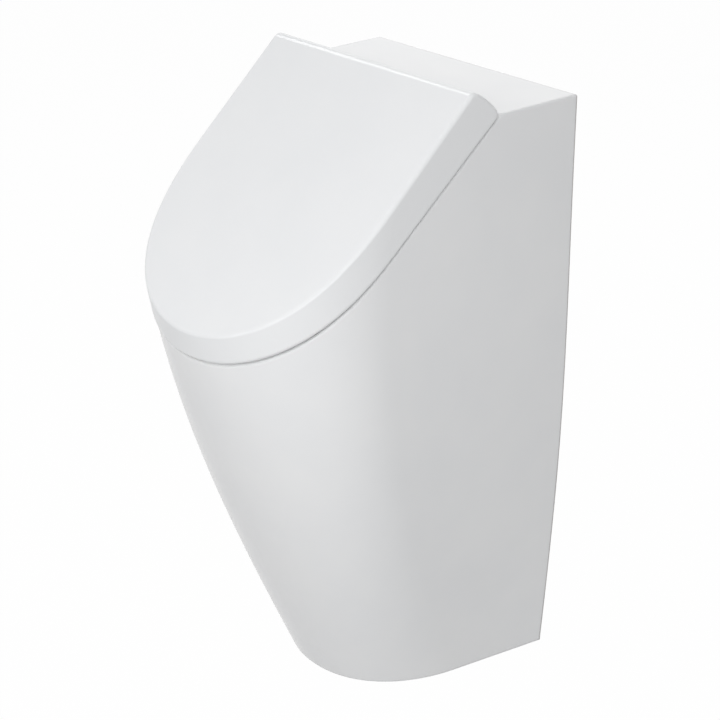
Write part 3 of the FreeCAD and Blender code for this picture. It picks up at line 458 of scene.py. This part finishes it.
def brushed_steel(name, shade, stretch):
    """Steel with fine lines drawn out along one axis."""
    fittings = settings().fittings
    material, shader = new_finish(name)
    brushing = shader.noise(fittings.brush, detail=2, where=shader.stretched(stretch))
    shader.surface({
        "Base Color": shader.mix(brushing, toned(shade, STEEL_TONE), shade),
        "Metallic": 1.0,
        "Roughness": between(brushing, **STEEL_ROUGHNESS),
        "Normal": shader.bump(brushing, fittings.brush * STEEL_RELIEF, fittings.edge),
    })
    return material


ZINC_TONE = (0.82, 0.82, 0.82)
ZINC_CAST = (1.0, 0.95, 0.82)
ZINC_CAST_SHARE = 0.7
ZINC_ROUGHNESS = {"low": 0.28, "high": 0.44}
ZINC_RELIEF = 1 / 150


def zinc_plate(name, shade):
    """Bright zinc plating with small crystals and a faint yellow cast between them."""
    fittings = settings().fittings
    material, shader = new_finish(name)
    spangle = shader.cells(fittings.spangle, "Color")
    crystal = shader.node("ShaderNodeSeparateColor", None, {"Color": spangle}, "Red")
    cast = shader.patches(fittings.cast, detail=3, low=0.4, high=0.8)
    bright = shader.mix(crystal, shade, toned(shade, ZINC_TONE))
    shader.surface({
        "Base Color": shader.mix(cast * ZINC_CAST_SHARE, bright, toned(shade, ZINC_CAST)),
        "Metallic": 1.0,
        "Roughness": between(crystal, **ZINC_ROUGHNESS),
        "Normal": shader.bump(crystal, fittings.spangle * ZINC_RELIEF, fittings.edge),
    })
    return material


CHROME_TONE = (0.9, 0.9, 0.9)
CHROME_ROUGHNESS = 0.07
CHROME_MARK_ROUGHNESS = {"low": 0.06, "high": 0.11}
CHROME_RELIEF = 1 / 800


def chrome_plate(name, shade):
    """Polished chrome with dried water marks."""
    fittings = settings().fittings
    material, shader = new_finish(name)
    marks = shader.patches(fittings.smudge, detail=5, low=0.52, high=0.75)
    rings = shader.ramp(shader.cells(fittings.smudge_ring, "Distance"), low=0.32, high=0.42)
    shader.surface({
        "Base Color": shader.mix(marks, shade, toned(shade, CHROME_TONE)),
        "Metallic": 1.0,
        "Roughness": CHROME_ROUGHNESS + marks * between(rings, **CHROME_MARK_ROUGHNESS),
        "Normal": shader.bump(marks, fittings.smudge * CHROME_RELIEF, fittings.edge),
    })
    return material


BRASS_STRETCH = (0.25, 1.0, 0.25)
BRASS_TARNISH = (0.62, 0.52, 0.45)
BRASS_TARNISH_SHARE = 0.6
BRASS_ROUGHNESS = {"low": 0.22, "high": 0.34}
BRASS_TARNISH_ROUGHNESS = 0.12
BRASS_RELIEF = 1 / 25


def machined_brass(name, shade):
    """Brass with fine turning lines round the inlet's axis and a light brown tarnish."""
    fittings = settings().fittings
    material, shader = new_finish(name)
    lines = shader.noise(fittings.brush, detail=2, where=shader.stretched(BRASS_STRETCH))
    tarnish = shader.patches(fittings.smudge, detail=4, low=0.42, high=0.72)
    shader.surface({
        "Base Color": shader.mix(tarnish * BRASS_TARNISH_SHARE, shade, toned(shade, BRASS_TARNISH)),
        "Metallic": 1.0,
        "Roughness": between(lines, **BRASS_ROUGHNESS) + tarnish * BRASS_TARNISH_ROUGHNESS,
        "Normal": shader.bump(lines, fittings.brush * BRASS_RELIEF, fittings.edge),
    })
    return material


FITTING_FINISHES = {
    "rubber_grey": (soft_rubber, {}),
    "rubber_black": (soft_rubber, {}),
    "hinge_steel": (brushed_steel, {"stretch": STEEL_STRETCH_Z}),
    "pin_steel": (brushed_steel, {"stretch": STEEL_STRETCH_X}),
    "zinc_steel": (zinc_plate, {}),
    "bush_plastic": (moulded_plastic, {"roughness": 0.42}),
    "damper_black": (moulded_plastic, {"roughness": 0.36}),
    "pipe_white": (moulded_plastic, {"roughness": 0.34}),
    "chrome_brass": (chrome_plate, {}),
    "brass": (machined_brass, {}),
}


def fitting_finish(slot):
    """The finish of one of the record's material slots, made once."""
    made = bpy.data.materials.get(slot)
    if made is None:
        maker, options = FITTING_FINISHES[slot]
        made = maker(slot, SLOT_COLOUR[slot], **options)
    return made


def cover(name, material):
    slots = frame["nodes"][name].data.materials
    slots.clear()
    slots.append(material)


def cover_fittings(names):
    for name in names:
        cover(name, fitting_finish(SLOT_OF_NODE[name]))


# Grip ribs

RIB_SLOT = "pipe_white"
RIB_STEPS = 8
RIB_SINK = 0.25
# Places along the first end of a rib, each with the rib's size there
RIB_TAPER = ((0.0, 0.1), (0.02, 0.55), (0.05, 0.88), (0.1, 1.0))
# Where the ribs start and how far they run, as shares of the piece that carries them
CUP_RIB_START, CUP_RIB_SPAN = 0.06, 0.62
NUT_RIB_START, NUT_RIB_SPAN = 0.1, 0.8


def skin_rings(shape, rings):
    """Closed skin through rings of points that all have the same count."""
    loops = [[shape.verts.new(point) for point in ring] for ring in rings]
    for low, high in zip(loops, loops[1:]):
        for i, corner in enumerate(low):
            j = (i + 1) % len(low)
            shape.faces.new((corner, low[j], high[j], high[i])).smooth = True
    shape.faces.new(reversed(loops[0]))
    shape.faces.new(loops[-1])


def rib_rings(turn, radius, span, width, height):
    """Rings of one half-round rib that runs along a round face and dies away at both ends."""
    out = Vector((math.cos(turn), math.sin(turn), 0))
    aside = Vector((-math.sin(turn), math.cos(turn), 0))
    far_end = tuple((1 - place, size) for place, size in reversed(RIB_TAPER))
    rings = []
    for place, size in RIB_TAPER + far_end:
        ring = []
        for i in range(RIB_STEPS + 1):
            arc = math.pi * i / RIB_STEPS
            proud = (math.sin(arc) * size * (1 + RIB_SINK) - RIB_SINK) * height
            ring.append(out * (radius + proud) + aside * (math.cos(arc) * width / 2)
                        + Vector((0, 0, span * place)))
        rings.append(ring)
    return rings


def add_grip_ribs(name, number, radius, span, placement):
    """Half-round grip ribs round a cylinder, as one piece that rides on the fixed body."""
    fittings = settings().fittings
    shape = bmesh.new()
    for i in range(number):
        turn = 2 * math.pi * i / number
        skin_rings(shape, rib_rings(turn, radius, span, fittings.rib_width, fittings.rib_height))
    bmesh.ops.recalc_face_normals(shape, faces=shape.faces[:])
    mesh = bpy.data.meshes.new(name)
    shape.to_mesh(mesh)
    shape.free()
    mesh.transform(placement)
    mesh.materials.append(fitting_finish(RIB_SLOT))
    piece = bpy.data.objects.new(name, mesh)
    bpy.context.scene.collection.objects.link(piece)
    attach(piece, "body")


# Stage

WHITE = (1.0, 1.0, 1.0, 1.0)


def seen_directly(shader):
    """1 for rays from the camera and for those that metal or glass sends on."""
    camera = shader.node("ShaderNodeLightPath", output="Is Camera Ray")
    glossy, through = camera.other("Is Glossy Ray"), camera.other("Is Transmission Ray")
    return 1 - (1 - camera) * (1 - glossy) * (1 - through)


def build_floor():
    """Pale floor at the height below the hung urinal, close to plain white where it is seen."""
    stage = settings().stage
    material, shader = new_finish("pale_floor")
    seen = seen_directly(shader)
    shade = shader.mix(seen, stage.floor_bounce, stage.floor_shade)
    plain = shader.node("ShaderNodeBsdfDiffuse", None, {"Color": shade}, "BSDF")
    white = shader.node("ShaderNodeEmission", None, {"Color": WHITE, "Strength": 1.0}, "Emission")
    both = shader.node("ShaderNodeMixShader", None, {"Fac": seen * stage.floor_glow, 1: plain, 2: white}, "Shader")
    shader.node("ShaderNodeOutputMaterial", None, {"Surface": both})
    half = stage.floor_span / 2
    level = CAD_BOX[0].z - stage.floor_drop
    mesh = bpy.data.meshes.new("floor")
    corners = [(-half, -half, level), (half, -half, level), (half, half, level), (-half, half, level)]
    mesh.from_pydata(corners, [], [(0, 1, 2, 3)])
    mesh.materials.append(material)
    floor = bpy.data.objects.new("floor", mesh)
    bpy.context.scene.collection.objects.link(floor)


def build_world():
    """White all round where it is seen, and a lower even light on the urinal."""
    world = bpy.data.worlds.new("white_surround")
    world.use_nodes = True
    bpy.context.scene.world = world
    shader = Shader(world.node_tree)
    level = between(seen_directly(shader), settings().stage.ambient, 1)
    white = shader.node("ShaderNodeBackground", None, {"Color": WHITE, "Strength": level}, "Background")
    shader.node("ShaderNodeOutputWorld", None, {"Surface": white})


def add_lamp(name, way, watts, distance, sides):
    """Flat lamp that looks at the camera's target from one way, out of the camera's sight."""
    data = bpy.data.lights.new(name, "AREA")
    data.shape = "RECTANGLE"
    data.size, data.size_y = sides
    data.energy = watts
    lamp = bpy.data.objects.new(name, data)
    outwards = Vector(way).normalized()
    lamp.location = Vector(settings().stage.target) + outwards * distance
    lamp.rotation_euler = outwards.to_track_quat("Z", "Y").to_euler()
    lamp.visible_camera = False
    bpy.context.scene.collection.objects.link(lamp)


def add_camera():
    """Camera that looks at its target from the azimuth, elevation and distance that are set."""
    stage = settings().stage
    turn, rise = stage.azimuth, stage.elevation
    back = Vector((math.sin(turn) * math.cos(rise), -math.cos(turn) * math.cos(rise), math.sin(rise)))
    data = bpy.data.cameras.new("camera")
    data.lens = stage.lens
    camera = bpy.data.objects.new("camera", data)
    camera.location = Vector(stage.target) + back * stage.distance
    camera.rotation_euler = back.to_track_quat("Z", "Y").to_euler()
    bpy.context.scene.collection.objects.link(camera)
    bpy.context.scene.camera = camera


# Operators

class URINAL_OT_glaze_china(bpy.types.Operator):
    """Glaze the shell and the bowl of the casting"""
    bl_idname = "urinal.glaze_china"
    bl_label = "Glaze China"

    def execute(self, context):
        low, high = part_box("china_shell")
        cover("china_shell", glazed_china("shell_glaze", (low + high) / 2, FACES_OUT))
        low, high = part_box("bowl_upper")
        above_mouth = Vector(((low.x + high.x) / 2, (low.y + high.y) / 2, high.z))
        bowl_glaze = glazed_china("bowl_glaze", above_mouth, FACES_IN)
        cover("bowl_upper", bowl_glaze)
        cover("bowl_lower", bowl_glaze)
        return {"FINISHED"}


class URINAL_OT_finish_lid(bpy.types.Operator):
    """Finish the lid and its rubber buffers"""
    bl_idname = "urinal.finish_lid"
    bl_label = "Finish Lid"

    def execute(self, context):
        cover("lid_shell", moulded_lid("lid_white"))
        cover_fittings(["lid_buffers"])
        return {"FINISHED"}


class URINAL_OT_finish_hinges(bpy.types.Operator):
    """Finish both hinges, their dampers and their fasteners"""
    bl_idname = "urinal.finish_hinges"
    bl_label = "Finish Hinges"

    def execute(self, context):
        for side in ("left", "right"):
            cover_fittings([part + side for part in ("hinge_post_", "hinge_pin_", "hinge_bush_", "damper_")])
        cover_fittings(["hinge_studs", "hinge_sleeves", "hinge_washers", "hinge_nuts"])
        return {"FINISHED"}


class URINAL_OT_finish_fixings(bpy.types.Operator):
    """Finish the sleeves and washers of the wall studs"""
    bl_idname = "urinal.finish_fixings"
    bl_label = "Finish Wall Fixings"

    def execute(self, context):
        cover_fittings(["fixing_sleeves", "fixing_washers"])
        return {"FINISHED"}


class URINAL_OT_finish_inlet(bpy.types.Operator):
    """Finish the flush nozzle, its fasteners and the inlet tube"""
    bl_idname = "urinal.finish_inlet"
    bl_label = "Finish Flush Inlet"

    def execute(self, context):
        cover_fittings(["flush_nozzle", "nozzle_seal", "nozzle_washer", "nozzle_locknut", "inlet_tube",
                        "inlet_wall_seal"])
        return {"FINISHED"}


class URINAL_OT_finish_drain(bpy.types.Operator):
    """Finish the drain and its strainer"""
    bl_idname = "urinal.finish_drain"
    bl_label = "Finish Drain"

    def execute(self, context):
        cover_fittings(["drain_body", "drain_gasket", "drain_under_washer", "drain_locknut", "strainer"])
        return {"FINISHED"}


class URINAL_OT_finish_trap(bpy.types.Operator):
    """Finish the bottle trap and the waste outlet"""
    bl_idname = "urinal.finish_trap"
    bl_label = "Finish Trap and Outlet"

    def execute(self, context):
        cover_fittings(["trap_body", "tail_seal", "trap_cup", "trap_seal", "outlet_pipe", "outlet_seal",
                        "outlet_nut"])
        return {"FINISHED"}


class URINAL_OT_add_grip_ribs(bpy.types.Operator):
    """Add the grip ribs of the trap's cup and of the outlet nut"""
    bl_idname = "urinal.add_grip_ribs"
    bl_label = "Add Grip Ribs"

    def execute(self, context):
        fittings = settings().fittings
        low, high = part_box("trap_cup")
        radius, height = (high.x - low.x) / 2, high.z - low.z
        foot = Vector(((low.x + high.x) / 2, (low.y + high.y) / 2, low.z + height * CUP_RIB_START))
        upright = Matrix.Translation(foot)
        add_grip_ribs("cup_grip_ribs", fittings.cup_ribs, radius, height * CUP_RIB_SPAN, upright)
        low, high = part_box("outlet_nut")
        radius, depth = (high.x - low.x) / 2, high.y - low.y
        mouth = Vector(((low.x + high.x) / 2, high.y - depth * NUT_RIB_START, (low.z + high.z) / 2))
        lying = Matrix.Translation(mouth) @ Matrix.Rotation(math.radians(90), 4, "X")
        add_grip_ribs("outlet_nut_ribs", fittings.nut_ribs, radius, depth * NUT_RIB_SPAN, lying)
        return {"FINISHED"}


class URINAL_OT_build_stage(bpy.types.Operator):
    """Build the floor, the world, the lamps and the camera"""
    bl_idname = "urinal.build_stage"
    bl_label = "Build Stage"

    def execute(self, context):
        build_floor()
        build_world()
        stage = settings().stage
        wide, near = [stage.lamp_width] * 2, [stage.side_width] * 2
        strip = [stage.heel_width, stage.heel_height]
        add_lamp("front_lamp", stage.front_way, stage.front_light, stage.lamp_distance, wide)
        add_lamp("rear_lamp", stage.rear_way, stage.rear_light, stage.lamp_distance, wide)
        add_lamp("side_lamp", stage.side_way, stage.side_light, stage.side_distance, near)
        add_lamp("heel_lamp", stage.heel_way, stage.heel_light, stage.lamp_distance, strip)
        add_camera()
        context.scene.view_settings.view_transform = "Standard"
        return {"FINISHED"}


# Panel and registration

OPERATORS = (
    URINAL_OT_glaze_china,
    URINAL_OT_finish_lid,
    URINAL_OT_finish_hinges,
    URINAL_OT_finish_fixings,
    URINAL_OT_finish_inlet,
    URINAL_OT_finish_drain,
    URINAL_OT_finish_trap,
    URINAL_OT_add_grip_ribs,
    URINAL_OT_build_stage,
)


class URINAL_PT_looks(bpy.types.Panel):
    """Sidebar panel that lists the steps in order"""
    bl_idname = "URINAL_PT_looks"
    bl_label = "Wall Urinal"
    bl_space_type = "VIEW_3D"
    bl_region_type = "UI"
    bl_category = "Urinal"

    def draw(self, context):
        for step in OPERATORS:
            self.layout.operator(step.bl_idname)


CLASSES = (ChinaSettings, LidSettings, FittingSettings, StageSettings, UrinalSettings, *OPERATORS, URINAL_PT_looks)


def register():
    for made in CLASSES:
        bpy.utils.register_class(made)
    bpy.types.Scene.urinal = PointerProperty(type=UrinalSettings)


def unregister():
    del bpy.types.Scene.urinal
    for made in reversed(CLASSES):
        bpy.utils.unregister_class(made)


def main():
    register()
    bpy.ops.urinal.glaze_china()
    bpy.ops.urinal.finish_lid()
    bpy.ops.urinal.finish_hinges()
    bpy.ops.urinal.finish_fixings()
    bpy.ops.urinal.finish_inlet()
    bpy.ops.urinal.finish_drain()
    bpy.ops.urinal.finish_trap()
    bpy.ops.urinal.add_grip_ribs()
    bpy.ops.urinal.build_stage()


if __name__ == "__main__":
    main()
